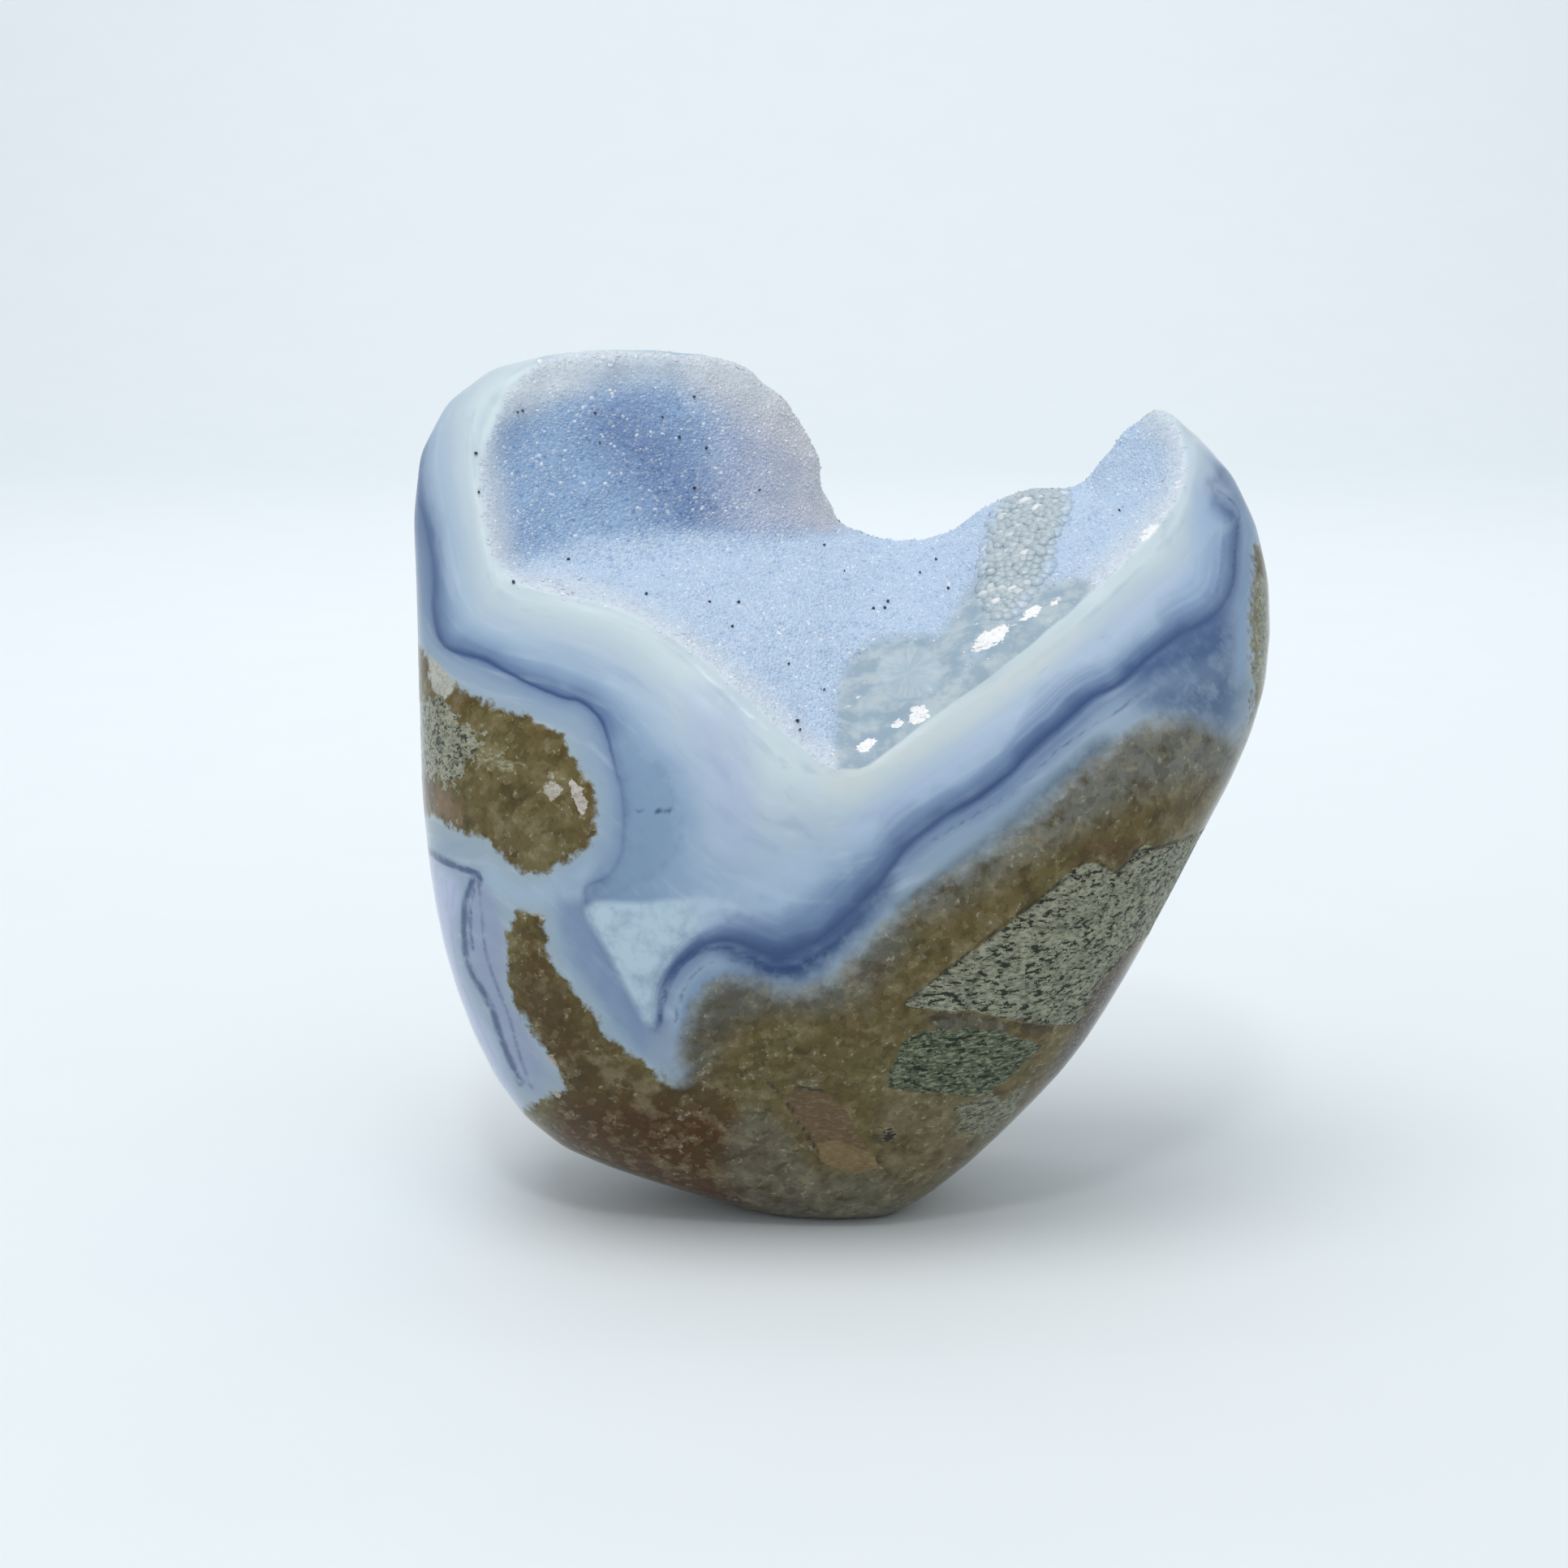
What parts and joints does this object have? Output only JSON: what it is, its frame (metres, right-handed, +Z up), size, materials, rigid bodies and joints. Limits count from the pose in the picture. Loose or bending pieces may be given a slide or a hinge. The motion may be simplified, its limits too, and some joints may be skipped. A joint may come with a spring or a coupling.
{
  "type": "blue lace agate geode",
  "caption": "Polished free-form blue lace agate that stands upright on a flat foot, with an open crystal-lined hollow; a display stone or paperweight.",
  "frame": {"origin": "bottom centre of the bounding box, at the height of the small flat spot that the stone rests on", "axes": "+Z up as the stone stands, the face with the low edge of the hollow looks along -Y, +X to the right in the picture"},
  "size_m": [0.0796, 0.0448, 0.0809],
  "materials": {
    "agate": "polished",
    "druzy": "natural crystal faces"
  },
  "bodies": {
    "root": {"agate_stone": "agate", "druzy_crust": "druzy"}
  },
  "joints": []
}
